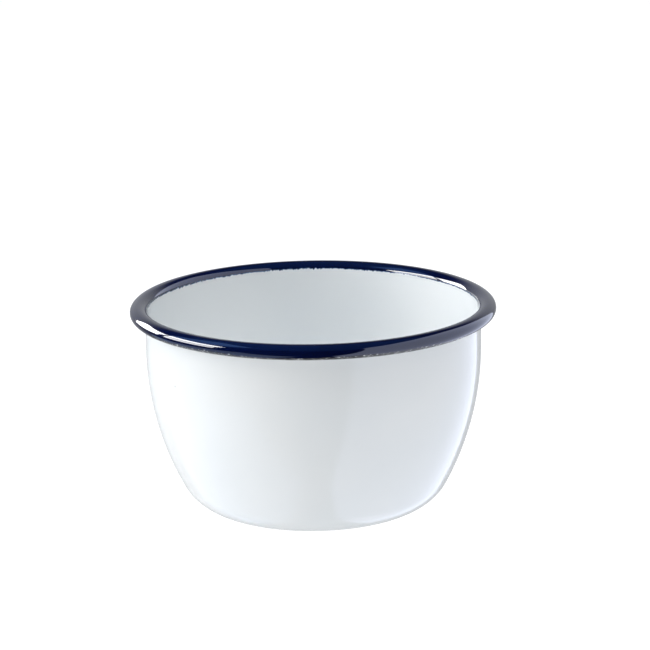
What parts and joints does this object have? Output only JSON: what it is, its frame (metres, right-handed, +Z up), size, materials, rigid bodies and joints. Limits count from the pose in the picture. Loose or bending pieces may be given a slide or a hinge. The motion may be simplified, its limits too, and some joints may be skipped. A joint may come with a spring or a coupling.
{
  "type": "enamel bowl",
  "caption": "Deep round bowl of enamelled pressed steel, white inside and out, with a curled blue rim and a flat base to stand on.",
  "frame": {"origin": "on the surface the bowl stands on, at the centre of its base", "axes": "+Z up along the bowl's axis, towards the mouth; +X and +Y are free, because the bowl is round"},
  "size_m": [0.14, 0.14, 0.08],
  "materials": {
    "deep_drawn_steel": "bare low-carbon sheet, hidden under the enamel",
    "ground_enamel": "fused dark ground coat, hidden under the cover coats",
    "white_enamel": "glossy opaque white vitreous enamel",
    "blue_enamel": "glossy deep navy vitreous enamel"
  },
  "bodies": {
    "root": {"steel_shell": "deep_drawn_steel", "ground_coat_inside": "ground_enamel", "ground_coat_outside": "ground_enamel", "white_enamel_inside": "white_enamel", "white_enamel_outside": "white_enamel", "blue_rim_enamel": "blue_enamel"}
  },
  "joints": []
}
